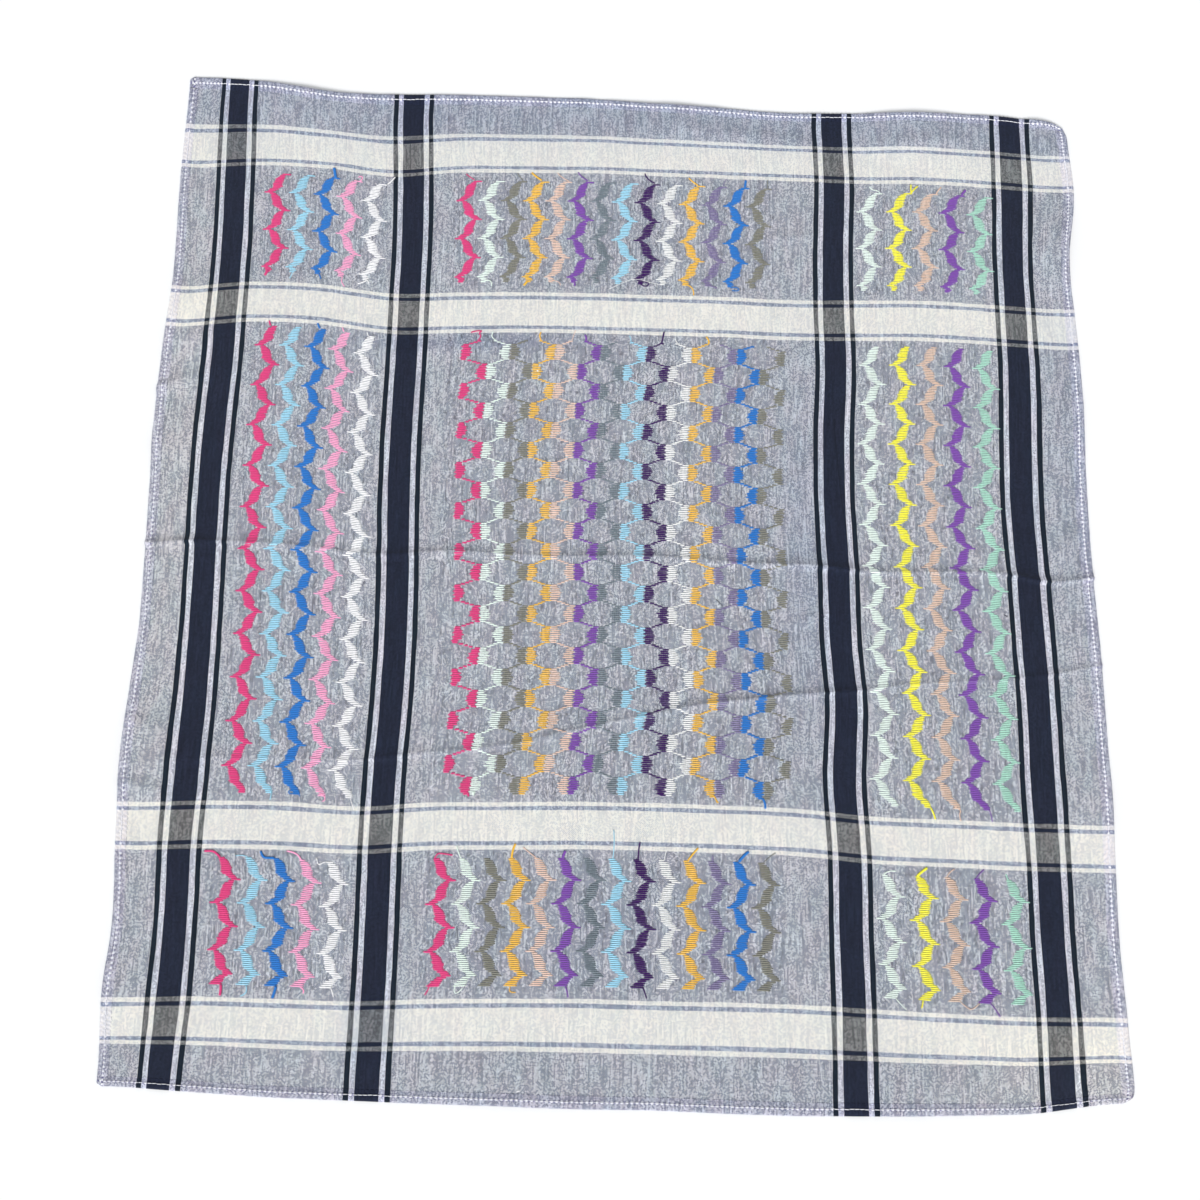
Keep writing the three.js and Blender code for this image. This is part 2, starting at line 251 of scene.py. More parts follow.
def lay_out(name, made, finish):
    """Lays a piece, modelled flat on the cut, where the cloth lies. It keeps its place on the cut."""
    mesh = bpy.data.meshes.new(name)
    made.to_mesh(mesh)
    made.free()
    flat = np.empty(len(mesh.vertices) * 3)
    mesh.vertices.foreach_get("co", flat)
    flat = flat.reshape(-1, 3)
    corners = np.empty(len(mesh.loops), dtype=int)
    mesh.loops.foreach_get("vertex_index", corners)
    place = flat[corners, :2] / (CUT_WIDTH, CUT_HEIGHT) + 0.5
    mesh.uv_layers.new(name="cut").data.foreach_set("uv", place.ravel())
    across, up = round_corners(flat[:, 0], flat[:, 1])
    laid = np.empty_like(flat)
    laid[:, 0] = across + pull(WARP_LINES, WARP_PULL, up, across)
    laid[:, 1] = up + pull(WEFT_LINES, WEFT_PULL, across, up)
    laid[:, 2] = flat[:, 2] + relief(across, up)
    mesh.vertices.foreach_set("co", (laid * MM).ravel())
    mesh.shade_smooth()
    mesh.materials.append(finish)
    piece = bpy.data.objects.new(name, mesh)
    bpy.context.scene.collection.objects.link(piece)
    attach(piece, "root")
    return piece


CLOTH_THICKNESS = 0.45
CLOTH_CLEARANCE = 0.05
PANEL_EDGE = 2.0
PANEL_CELL = 2.62
CREASE_ROW = -34
GATHER_REACH = 20.0
GATHER_POWER = 1.4

# The weave: the pitch of its threads, the length of a fleck and of a change of shade along one, and
# the width of a streak. A stagger keeps what starts along one thread from starting along the next.
THREAD_PITCH = 0.55
DASH_LENGTH = 0.9
DASH_STAGGER = 9.0
SHADE_LENGTH = 0.55
STREAK_WIDTH = 0.85
STREAK_STAGGER = 7.3
LINE_SWAY = 0.8

# How fast the slow noises change, in waves to the millimetre: up the cloth for the warp's streaks,
# across and up for the weft's and the blush, across and along a warp line for its sway
STREAK_RATE = 0.06
WEFT_STREAK_RATE = (0.08, 1.3)
SWAY_RATE = (0.5, 0.05)
BLUSH_RATE = (0.13, 0.05)

# How much of the warp shows dark: everywhere, in a dark streak and among the inlay, where it is
# partly dark warp and partly painted shade between the chains
DARK_EVERYWHERE = 0.08
DARK_IN_STREAK = 0.86
DARK_AND_SHADE_AMONG_INLAY = 0.14

# What the shade of the cloth is made of: a base, streaks along the warp and the weft, and a grain
SHADE_BASE = 0.57
SHADE_OF_WARP = 0.25
SHADE_OF_WEFT = 0.15
SHADE_OF_GRAIN = 0.38
CALM_IN_WHITE = 0.62

# What the bumps of the cloth are made of, and how strong and deep they are
BUMP_OF_WEAVE = 0.6
BUMP_OF_WARP = 0.5
BUMP_OF_GRAIN = 0.3
BUMP_STRENGTH = 0.35
BUMP_DEPTH = 0.12

# The rows and fields that the inlay takes up, as middle and half length, and the short dark flecks
# in them, partly floats of dark warp and partly painted shade between the chains
WORKED_ROWS = ((203.0, 35.0), (1.0, 138.0), (-201.0, 36.0))
WORKED_FIELDS = ((-180.0, 37.0), (-6.0, 97.0), (182.0, 40.0))
WORKED_PALER = 0.05
FLOAT_WIDTH = 0.6
FLOAT_LENGTH = 2.2
FLOAT_STAGGER = 7.0
FLOAT_SHARE = 0.15
FLOAT_AND_SHADE_DARKER = 0.36

# A thin line of painted shade along a sharp crease in the third stripe group: its place, lean and
# half width, then the middle and half length of its stretch up the cloth
PRESSED_PLACE = 135.0
PRESSED_LEAN = 0.09
PRESSED_WIDTH = 0.35
PRESSED_MIDDLE = 24.0
PRESSED_REACH = 66.0
CREASE_SHADE_DARKER = 0.3

# Half widths of a stripe group and of a band, from their middles to each colour change
STRIPE_BORDERS = (6.3, 9.3, 12.1)
BAND_BORDERS = (8.3, 10.5, 12.8)

# Weft, pale warp and dark warp of each part of the check
GROUND = ("#BBBBC0", "#CAC9CC", "#656B80")
PALE_STRIPE = ("#CFCED6", "#D6D5DC", "#9495A6")
WHITE_BAND = ("#F0EBE2", "#EEE8DE", "#CAC9CB")
GROUND_LINE = ("#B2B7C3", "#BCC0CA", "#565E7B")
NAVY_STRIPE = ("#242A3C", "#21273A", "#181D2E")
THIN_NAVY = ("#1B2532", "#18222E", "#101A26")
NAVY_ON_WHITE = ("#888786", "#848382", "#1E2028")
PINK_BLUSH = (1.025, 0.985, 1.0, 1.0)
BLUE_BLUSH = (0.965, 1.005, 1.015, 1.0)

# Soft patches that darken and blue the cloth (above nought) and pale it (below nought), as across,
# up, reach across, reach up and strength. The darker ones are partly darker dye, at two stripe
# crossings and under the second band, and partly painted shade: beside the net at 108 across, and
# round the chains in the upper and lower rows of inlay
PALER_TONE = (1.15, 1.15, 1.09, 1.0)
DARK_DYE_AND_SHADE = (0.8, 0.86, 0.94, 1.0)
DYE_AND_SHADE_PATCHES = (
    (0, 285, 420, 24, 1.1),
    (-256, 40, 24, 190, -0.6),
    (264, 90, 22, 130, 0.6),
    (250, -285, 60, 34, -1.1),
    (60, -282, 150, 22, 0.2),
    (108, 10, 16, 120, 0.95),
    (-90, 133, 60, 5, 1.3),
    (-60, 211, 190, 34, 0.2),
    (-10, -205, 100, 32, 0.4),
    (-235, 254, 13, 13, 0.8),
    (-128, -254, 14, 14, 1.6),
)


def dye(code):
    """A colour written as #RRGGBB, as the linear colour that a shader takes."""
    channels = [int(code[k : k + 2], 16) / 255 for k in (1, 3, 5)]
    linear = [c / 12.92 if c <= 0.04045 else ((c + 0.055) / 1.055) ** 2.4 for c in channels]
    return (*linear, 1.0)


class Wire:
    """One output in a material's nodes, on which Python's own operators can be written."""

    def __init__(self, tree, socket=None):
        self.tree = tree
        self.socket = socket

    def node(self, kind, settings, inputs, output=0):
        made = self.tree.nodes.new(kind)
        for name, value in settings.items():
            setattr(made, name, value)
        for key, value in inputs.items():
            if isinstance(value, Wire):
                self.tree.links.new(value.socket, made.inputs[key])
            else:
                made.inputs[key].default_value = value
        return Wire(self.tree, made.outputs[output])

    def math(self, operation, *values):
        return self.node("ShaderNodeMath", {"operation": operation}, dict(enumerate(values)))

    def __add__(self, other):
        return self.math("ADD", self, other)

    def __sub__(self, other):
        return self.math("SUBTRACT", self, other)

    def __rsub__(self, other):
        return self.math("SUBTRACT", other, self)

    def __mul__(self, other):
        return self.math("MULTIPLY", self, other)

    def __truediv__(self, other):
        return self.math("DIVIDE", self, other)

    def __mod__(self, other):
        return self.math("FLOORED_MODULO", self, other)

    def __lt__(self, other):
        return self.math("LESS_THAN", self, other)

    def __gt__(self, other):
        return self.math("GREATER_THAN", self, other)

    def __abs__(self):
        return self.math("ABSOLUTE", self)

    def __floor__(self):
        return self.math("FLOOR", self)

    __radd__ = __add__
    __rmul__ = __mul__


def mix(below, above, share):
    """A colour between two others. Either may be a wire or a fixed colour."""
    return share.node("ShaderNodeMix", {"data_type": "RGBA"}, {0: share, 6: below, 7: above}, 2)


def tint(base, by):
    """A colour multiplied by another."""
    settings = {"data_type": "RGBA", "blend_type": "MULTIPLY"}
    return base.node("ShaderNodeMix", settings, {0: 1.0, 6: base, 7: by}, 2)


def place_of(wire, across, up):
    return wire.node("ShaderNodeCombineXYZ", {}, {0: across, 1: up})


def slow_noise(wire, across, up, detail=1.0, contrast=1.0):
    """Soft random values round 0.5, from places already scaled; contrast widens their range."""
    inputs = {"Vector": place_of(wire, across, up), "Scale": 1.0, "Detail": detail}
    value = wire.node("ShaderNodeTexNoise", {}, inputs)
    return wire.math("MULTIPLY_ADD", value - 0.5, contrast, 0.5)


def cell_value(wire, across, up):
    """One random value for each whole-numbered cell."""
    cell = place_of(wire, math.floor(across), math.floor(up))
    return wire.node("ShaderNodeTexWhiteNoise", {"noise_dimensions": "2D"}, {"Vector": cell}, 0)


def bumps(wire, height, strength, depth):
    """The surface direction over small bumps, their depth in millimetres."""
    inputs = {"Strength": strength, "Distance": depth * MM, "Height": height}
    return wire.node("ShaderNodeBump", {}, inputs)


def within(value, stretches):
    """One inside any of several stretches, each given as its middle and half length."""
    first, *others = (abs(value - middle) < reach for middle, reach in stretches)
    return sum(others, first)


def start_finish(name, roughness, sheen):
    """A new material, its shader and a first wire to write the rest on."""
    finish = bpy.data.materials.new(name)
    finish.use_nodes = True
    shader = finish.node_tree.nodes["Principled BSDF"]
    shader.inputs["Roughness"].default_value = roughness
    shader.inputs["Sheen Weight"].default_value = sheen
    shader.inputs["Sheen Roughness"].default_value = 0.5
    shader.inputs["Specular IOR Level"].default_value = 0.2
    return finish, shader, Wire(finish.node_tree)


def connect(wire, shader, socket):
    wire.tree.links.new(wire.socket, shader.inputs[socket])


def cloth_finish(name, seam_holes=False):
    """The woven check, painted by its place on the cut, down to the single thread."""
    finish, shader, wire = start_finish(name, roughness=0.9, sheen=0.1)
    cut = {"Vector": wire.node("ShaderNodeUVMap", {"uv_map": "cut"}, {})}
    across = (wire.node("ShaderNodeSeparateXYZ", {}, cut, 0) - 0.5) * CUT_WIDTH
    up = (wire.node("ShaderNodeSeparateXYZ", {}, cut, 1) - 0.5) * CUT_HEIGHT

    # Distance from the middle of the nearest stripe group and of the nearest band
    mean_stripe = (WARP_LINES[3] + WARP_LINES[4]) / 2
    mean_band = (WEFT_LINES[4] + WEFT_LINES[5]) / 2
    fast, slow = SWAY_RATE
    sway_across = (slow_noise(wire, across * fast, up * slow) - 0.5) * LINE_SWAY
    sway_up = (slow_noise(wire, across * slow, up * fast) - 0.5) * LINE_SWAY
    from_stripe = abs(abs(abs(across + sway_across) - mean_stripe) - (WARP_LINES[4] - mean_stripe))
    from_band = abs(abs(abs(up + sway_up) - mean_band) - (WEFT_LINES[5] - mean_band))
    wide_navy = from_stripe < STRIPE_BORDERS[0]
    pale_gap = (from_stripe < STRIPE_BORDERS[1]) - wide_navy
    thin_navy = (from_stripe < STRIPE_BORDERS[2]) - pale_gap - wide_navy
    wide_white = from_band < BAND_BORDERS[0]
    ground_line = (from_band < BAND_BORDERS[1]) - wide_white
    white = (from_band < BAND_BORDERS[2]) - ground_line

    # Among the inlay more of the warp shows dark, in three rows of three fields, with short dark
    # flecks: partly floats of dark warp, partly painted shade between the chains
    worked = within(up, WORKED_ROWS) * within(across, WORKED_FIELDS)
    float_start = cell_value(wire, across / FLOAT_WIDTH, 0.5) * FLOAT_STAGGER
    float_cell = cell_value(wire, across / FLOAT_WIDTH, up / FLOAT_LENGTH + float_start)
    dark_float_and_shade = worked * (float_cell < FLOAT_SHARE)

    # Plain weave, one cell to a crossing. The yarn is uneven: each warp thread runs darker or paler
    # for a centimetre or so, and is flecked all along.
    warp_thread = across / THREAD_PITCH
    weft_thread = up / THREAD_PITCH
    over = (math.floor(warp_thread) + math.floor(weft_thread)) % 2.0
    dash_start = cell_value(wire, warp_thread, 0.5) * DASH_STAGGER
    dash = cell_value(wire, warp_thread, up / DASH_LENGTH + dash_start)
    streak_place = math.floor(across / STREAK_WIDTH) * STREAK_STAGGER
    streak = slow_noise(wire, streak_place, up * STREAK_RATE, detail=3.0, contrast=2.5)
    # Among the inlay more warp shows dark, partly as painted shade between the chains
    dark_share = DARK_EVERYWHERE + streak * DARK_IN_STREAK + worked * DARK_AND_SHADE_AMONG_INLAY
    dark_over = over * (dash < dark_share)
    pale_over = over - dark_over

    def thread_colour(area):
        weft, pale, dark = (dye(code) for code in area)
        return mix(mix(weft, pale, pale_over), dark, dark_over)

    ground = mix(thread_colour(GROUND), thread_colour(GROUND_LINE), ground_line)
    ground = mix(ground, thread_colour(WHITE_BAND), white)
    gap = mix(thread_colour(PALE_STRIPE), thread_colour(WHITE_BAND), white)
    stripe = mix(thread_colour(NAVY_STRIPE), thread_colour(THIN_NAVY), thin_navy)
    stripe = mix(stripe, thread_colour(NAVY_ON_WHITE), white)
    woven = mix(mix(ground, gap, pale_gap), stripe, wide_navy + thin_navy)

    # Slubs, uneven dye and wear: streaks along the warp, fainter ones along the weft, and a blush. Then
    # painted shade along a crease and among the inlay, and patches of darker dye and painted shade
    along_weft, along_warp = WEFT_STREAK_RATE
    weft_streak = slow_noise(wire, across * along_weft, up * along_warp, detail=2.0, contrast=1.2)
    grain = cell_value(wire, warp_thread, up / SHADE_LENGTH + dash_start)
    shade = SHADE_BASE + (1.0 - streak) * SHADE_OF_WARP + weft_streak * SHADE_OF_WEFT
    shade = shade + grain * SHADE_OF_GRAIN
    calm = 1.0 - white * (1.0 - wide_navy - thin_navy) * CALM_IN_WHITE
    # Painted shade: a thin darker line along the crease in the third stripe group
    pressed = abs(across - PRESSED_PLACE + up * PRESSED_LEAN) < PRESSED_WIDTH
    pressed = pressed * (abs(up - PRESSED_MIDDLE) < PRESSED_REACH)
    shade = (1.0 + (shade - 1.0) * calm) * (1.0 - pressed * CREASE_SHADE_DARKER)
    # Paler among the inlay, and darker at its flecks, partly painted shade between the chains
    shade = shade * (1.0 + worked * WORKED_PALER - dark_float_and_shade * FLOAT_AND_SHADE_DARKER)
    along_weft, along_warp = BLUSH_RATE
    blush = slow_noise(wire, across * along_weft, up * along_warp, contrast=3.0)
    blush = 0.5 + (blush - 0.5) * calm
    coloured = tint(woven, mix(BLUE_BLUSH, PINK_BLUSH, blush))
    # Darker dye and painted shade where the patches stand above nought, a paler tone where below
    dye_and_shade_share = 0.5
    for patch_across, patch_up, reach_across, reach_up, strength in DYE_AND_SHADE_PATCHES:
        a = (across - patch_across) / reach_across
        b = (up - patch_up) / reach_up
        dye_and_shade_share = wire.math("EXPONENT", 0.0 - a * a - b * b) * (strength * 0.5) + dye_and_shade_share
    coloured = tint(coloured, mix(PALER_TONE, DARK_DYE_AND_SHADE, dye_and_shade_share))
    # Along each seam: painted shade in the needle holes, and pale spots between them
    if seam_holes:
        coloured = tint(coloured, HEM_TINT)
        for along, crossing, reach in ((across, up, CUT_HEIGHT), (up, across, CUT_WIDTH)):
            inward = reach / 2 - abs(crossing)
            on_seam = abs(inward - STITCH_INWARD) < SEAM_HOLE_REACH
            step = abs((along / STITCH_PITCH) % 1.0 - 0.5)
            on_plain = on_seam * (1.0 - white - wide_navy - thin_navy)
            # Painted shade in the needle holes
            in_hole = on_plain * (step < SEAM_HOLE_SHARE)
            # Pale spots between the holes: the stitch thread, and painted light on the puckers it draws
            # up
            on_thread_and_highlight = on_plain * (step > THREAD_AND_HIGHLIGHT_SHARE)
            coloured = mix(coloured, tint(coloured, SEAM_HOLE_SHADE), in_hole)
            coloured = mix(coloured, dye(STITCH_THREAD), on_thread_and_highlight)
    coloured = wire.node("ShaderNodeVectorMath", {"operation": "SCALE"}, {0: coloured, "Scale": shade})
    connect(coloured, shader, "Base Color")

    hump = wire.math("SINE", (warp_thread % 1.0) * math.pi) * over
    hump = hump + wire.math("SINE", (weft_thread % 1.0) * math.pi) * (1.0 - over)
    height = hump * BUMP_OF_WEAVE + streak * BUMP_OF_WARP + grain * BUMP_OF_GRAIN
    connect(bumps(wire, height, BUMP_STRENGTH, BUMP_DEPTH), shader, "Normal")
    return finish


def gather_rows(across, up, crease_row):
    """Draws the grid's rows to the two creases, closest at the crests, so that these stay sharp."""
    lines = (-CUT_HEIGHT / 2, crease_row, 0, CUT_HEIGHT / 2)
    shifts = [(row[0], 0, row[1] - crease_row, row[3], 0) for row in CREASES]
    up = up + pull(lines, shifts, across, up)
    for column in (1, 3):
        line = read_table(CREASES, column, across)
        off = (up - line) / GATHER_REACH
        gathered = line + np.sign(off) * np.abs(off) ** GATHER_POWER * GATHER_REACH
        up = np.where(np.abs(off) < 1, gathered, up)
    return up


CLOTH_FINISH = cloth_finish("woven_check")

panel_made = bmesh.new()
panel_width = CUT_WIDTH - 2 * PANEL_EDGE
panel_height = CUT_HEIGHT - 2 * PANEL_EDGE
panel_rows = round(panel_height / PANEL_CELL)
bmesh.ops.create_grid(
    panel_made,
    x_segments=round(panel_width / PANEL_CELL),
    y_segments=panel_rows,
    size=0.5,
)
bmesh.ops.scale(panel_made, vec=(panel_width, panel_height, 1), verts=panel_made.verts)
places = np.array([vert.co.to_2d() for vert in panel_made.verts])
gathered_up = gather_rows(places[:, 0], places[:, 1], CREASE_ROW * panel_height / panel_rows)
for vert, up in zip(panel_made.verts, gathered_up):
    vert.co.y = up
bmesh.ops.solidify(panel_made, geom=panel_made.faces, thickness=CLOTH_THICKNESS)
lowest = min(vert.co.z for vert in panel_made.verts)
bmesh.ops.translate(panel_made, vec=(0, 0, CLOTH_CLEARANCE - lowest), verts=panel_made.verts)
bmesh.ops.recalc_face_normals(panel_made, faces=panel_made.faces)
panel = lay_out("cloth_panel", panel_made, CLOTH_FINISH)
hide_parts("panel")
CLOTH_TOP = CLOTH_CLEARANCE + CLOTH_THICKNESS


# The four hems. Each raw edge is turned under twice into a narrow roll, and the seam draws it up
# into slanting ridges like a rope's.
HEM_WIDTH = 6.0
HEM_SECTION = (
    (0.4, 0.05),
    (0.0, 0.5),
    (0.5, 0.95),
    (1.7, 1.15),
    (3.3, 1.02),
    (4.4, 0.84),
    (5.4, 0.66),
    (6.3, 0.5),
    (6.0, 0.05),
    (3.0, 0.05),
    (0.4, 0.05),
)
HEM_AROUND = 20
HEM_ALONG = 0.65
HEM_MERGE = 0.0001
STITCH_PITCH = 2.6
RIDGE_HEIGHT = 0.16
STITCH_INWARD = 3.3
HEM_TINT = (1.02, 1.0, 1.08, 1.0)
# Painted shade in the seam's needle holes, then how far it reaches and its share of each stitch
SEAM_HOLE_SHADE = (0.36, 0.34, 0.58, 1.0)
SEAM_HOLE_REACH = 0.6
SEAM_HOLE_SHARE = 0.17
# The share of each stitch painted pale, as thread and painted light on the puckers it draws up
THREAD_AND_HIGHLIGHT_SHARE = 0.3
STITCH_THREAD = "#F4F4FB"
HEMS = {
    "hem_top": {"side": 1, "level": True, "length": CUT_WIDTH},
    "hem_bottom": {"side": -1, "level": True, "length": CUT_WIDTH},
    "hem_left": {"side": -1, "level": False, "length": CUT_HEIGHT - 2 * HEM_WIDTH},
    "hem_right": {"side": 1, "level": False, "length": CUT_HEIGHT - 2 * HEM_WIDTH},
}


def on_hem(hem, along, inward):
    """A place on a hem, along it and in from the cut's edge, as across and up on the cut."""
    if hem["level"]:
        return along, hem["side"] * (CUT_HEIGHT / 2 - inward)
    return hem["side"] * (CUT_WIDTH / 2 - inward), along


def roll_hem(hem):
    """A grid rolled round the hem's section, closed along its length and at both ends."""
    rolled = bmesh.new()
    along_steps = round(hem["length"] / HEM_ALONG)
    bmesh.ops.create_grid(rolled, x_segments=along_steps, y_segments=HEM_AROUND, size=0.5)
    section = np.array(HEM_SECTION)
    stations = np.linspace(0, 1, len(section))
    for vert in rolled.verts:
        along = vert.co.x * hem["length"]
        turn = vert.co.y + 0.5
        inward = np.interp(turn, stations, section[:, 0])
        height = np.interp(turn, stations, section[:, 1])
        ridge = math.sin(math.tau * (along / STITCH_PITCH + inward / HEM_WIDTH))
        height += RIDGE_HEIGHT * ridge * min(1.0, height)
        vert.co = (*on_hem(hem, along, inward), max(height, CLOTH_CLEARANCE))
    bmesh.ops.remove_doubles(rolled, verts=rolled.verts, dist=HEM_MERGE)
    bmesh.ops.holes_fill(rolled, edges=rolled.edges, sides=HEM_AROUND * 2)
    bmesh.ops.recalc_face_normals(rolled, faces=rolled.faces)
    return rolled


HEM_FINISH = cloth_finish("hem_check", seam_holes=True)
for hem_name, hem in HEMS.items():
    hem_piece = lay_out("rolled_" + hem_name, roll_hem(hem), HEM_FINISH)
    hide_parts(hem_name)


# The hem seams. A pale lockstitch runs along the middle of each hem, and every stitch dips into
# the cloth at both ends.
STITCH_LENGTH = 2.5
STITCH_WIDTH = 0.42
STITCH_THICKNESS = 0.5
STITCH_BASE = 0.95
STITCH_WOBBLE = 0.15

# A strand is made from a rod two units long. Edges longer than its side value run along it, and
# past its end value it is thinner and dips, beside a full middle that is stretched.
STRAND_SIDE = 1.5
STRAND_END = 0.9
STRAND_END_SIZE = 0.6
STRAND_END_DIP = 0.7
STRAND_FULL_STRETCH = 1.95


def make_strand():
    """One short stretch of thread along X: a flattened six-sided rod that dips at its ends."""
    made = bmesh.new()
    bmesh.ops.create_cone(made, cap_ends=True, segments=6, radius1=1, radius2=1, depth=2)
    long_edges = [edge for edge in made.edges if edge.calc_length() > STRAND_SIDE]
    bmesh.ops.subdivide_edges(made, edges=long_edges, cuts=2)
    bmesh.ops.rotate(made, verts=made.verts, matrix=Quaternion((0, 1, 0), math.radians(90)).to_matrix())
    for vert in made.verts:
        if abs(vert.co.x) > STRAND_END:
            vert.co.y *= STRAND_END_SIZE
            vert.co.z = vert.co.z * STRAND_END_SIZE - STRAND_END_DIP
        else:
            vert.co.x *= STRAND_FULL_STRETCH
    bmesh.ops.recalc_face_normals(made, faces=made.faces)
    mesh = bpy.data.meshes.new("strand")
    made.to_mesh(mesh)
    made.free()
    return mesh


STRAND = make_strand()


def add_strand(work, middle, reach, width, base, thickness):
    """Sets one strand on the cloth: its middle, the half of it from there, and its height."""
    work.from_mesh(STRAND)
    work.verts.ensure_lookup_table()
    side = Vector((-reach.y, reach.x)).normalized() * width / 2
    for vert in work.verts[-len(STRAND.vertices) :]:
        along, sideways, height = vert.co
        place = middle + reach * along + side * sideways
        vert.co = (place.x, place.y, base + (height + 1) * thickness / 2)


# Spun thread: how fine its fibres and its patches of dye are, and what its shade is made of
FIBRE_SCALE = 900.0
PATCH_SCALE = 60.0
THREAD_SHADE = 0.72
SHADE_OF_FIBRES = 0.34
SHADE_OF_PATCHES = 0.22
THREAD_BUMP_STRENGTH = 0.5
THREAD_BUMP_DEPTH = 0.1


def thread_finish(name, colour):
    """Soft spun thread: its dye in uneven shades, with fine fibres along it."""
    finish, shader, wire = start_finish(name, roughness=0.7, sheen=0.25)
    place = wire.node("ShaderNodeTexCoord", {}, {}, 3)
    fibres = wire.node("ShaderNodeTexNoise", {}, {"Vector": place, "Scale": FIBRE_SCALE, "Detail": 3.0})
    patches = wire.node("ShaderNodeTexNoise", {}, {"Vector": place, "Scale": PATCH_SCALE})
    shade = THREAD_SHADE + fibres * SHADE_OF_FIBRES + patches * SHADE_OF_PATCHES
    dyed = wire.node("ShaderNodeVectorMath", {"operation": "SCALE"}, {0: dye(colour)[:3], "Scale": shade})
    connect(dyed, shader, "Base Color")
    connect(bumps(wire, fibres, THREAD_BUMP_STRENGTH, THREAD_BUMP_DEPTH), shader, "Normal")
    return finish


SEWING_FINISH = thread_finish("sewing_thread", STITCH_THREAD)

for hem_name, hem in HEMS.items():
    seam_made = bmesh.new()
    seam_length = hem["length"] - (2 * STITCH_INWARD if hem["level"] else 0)
    for k in range(round(seam_length / STITCH_PITCH)):
        along = (k + 0.5) * STITCH_PITCH - seam_length / 2
        wobble = random.Random(f"{hem_name}{k}").uniform(-STITCH_WOBBLE, STITCH_WOBBLE)
        middle = Vector(on_hem(hem, along, STITCH_INWARD + wobble))
        ahead = Vector(on_hem(hem, along + STITCH_LENGTH / 2, STITCH_INWARD + wobble * 1.5))
        add_strand(seam_made, middle, ahead - middle, STITCH_WIDTH, STITCH_BASE, STITCH_THICKNESS)
    lay_out("seam_" + hem_name, seam_made, SEWING_FINISH)


# The inlay. Soft coloured threads are laid in by hand while the cloth is on the loom: they float
# over a few warps in every pick, so each chain is a row of short level strands.
STRAND_THICKNESS = 0.42
STRAND_THINNEST = 0.9
STRAND_THICKEST = 1.15
STRAND_SINK = 0.05
INLAY_BASE = CLOTH_TOP - STRAND_SINK

# How uneven the strands are, in length, in height on the cloth and in slant
UNEVEN_ENDS = 0.25
UNEVEN_PICKS = 0.06
UNEVEN_SLANT = 0.12

# Each thread's colour, and how wide it lies on the cloth
THREADS = {
    "crimson": ("#E24684", 1.04),
    "light_blue": ("#A6DDF3", 0.8),
    "royal_blue": ("#2B7ACB", 1.04),
    "pink": ("#FFB0D5", 0.78),
    "white": ("#FFFEFF", 0.76),
    "pale_mint": ("#F2FFF6", 0.7),
    "olive": ("#87867A", 0.84),
    "amber": ("#FDC845", 0.73),
    "peach": ("#F4D2BE", 0.64),
    "purple": ("#8250AE", 0.96),
    "slate": ("#74828A", 0.7),
    "violet": ("#3C0F5E", 0.86),
    "silver": ("#FAFAF8", 0.68),
    "mauve": ("#8377A2", 0.72),
    "yellow": ("#FFF84A", 0.82),
    "tan": ("#E9CAB4", 0.7),
    "mint": ("#B0E2CE", 0.77),
}

# One leaf, pick by pick: where each strand starts and ends, from the chain's middle. It follows the
# mean outline of the leaves in the photo, to half a millimetre. The first strand is the spur at its
# apex, and the next leaf is its mirror image.
LEAF = (
    (-8, -2.5),
    (-4.5, -1),
    (-4, 0.5),
    (-4, 1.5),
    (-3.5, 2),
    (-3.5, 2.5),
    (-3, 3),
    (-3, 3),
    (-3, 3),
    (-2, 3.5),
    (-0.5, 5),
    (1, 6),
)
LEAF_MIRRORED = tuple((-end, -start) for start, end in LEAF)

# Each row of the check: the height of its first apex, whether that apex points right, how many
# strands are left out at the start, how many leaves follow, and the last strands under them
CHECK_ROWS = (
    {
        "top": 235.3,
        "first_right": True,
        "skipped": 0,
        "leaves": 5,
        "tail": ((-7.5, -3), (-5.5, -1.5), (-5, -1), (-5, -2)),
    },
    {
        "top": 136.6,
        "first_right": True,
        "skipped": 1,
        "leaves": 22,
        "tail": ((1.5, 6.5), (3, 7), (3, 7)),
    },
    {
        "top": -168.2,
        "first_right": False,
        "skipped": 1,
        "leaves": 5,
        "tail": ((1.5, 7), (-0.5, 4.5), (-2, 3), (-3.5, 2.5), (-4.5, 2), (-5.5, 1.5)),
    },
)
LEFT_FIELD = {
    "colours": ("crimson", "light_blue", "royal_blue", "pink", "white"),
    "places": (-209, -194.5, -179.5, -165.5, -150.5),
    "pick": 1.017,
    "lower": 0.0,
}
RIGHT_FIELD = {
    "colours": ("pale_mint", "yellow", "tan", "purple", "mint"),
    "places": (148.5, 166.5, 182.5, 198.5, 215.5),
    "pick": 1.007,
    "lower": 0.9,
}
MIDDLE_FIELD = {
    "colours": (
        "crimson", "pale_mint", "olive", "amber", "peach", "purple", "slate",
        "light_blue", "violet", "silver", "amber", "mauve", "royal_blue", "olive",
    ),
    "places": tuple(-93.5 + 13.45 * k for k in range(14)),
    "pick": 1.02,
    "lower": 0.0,
}
INLAY_FINISHES = {name: thread_finish("thread_" + name, code) for name, (code, _) in THREADS.items()}


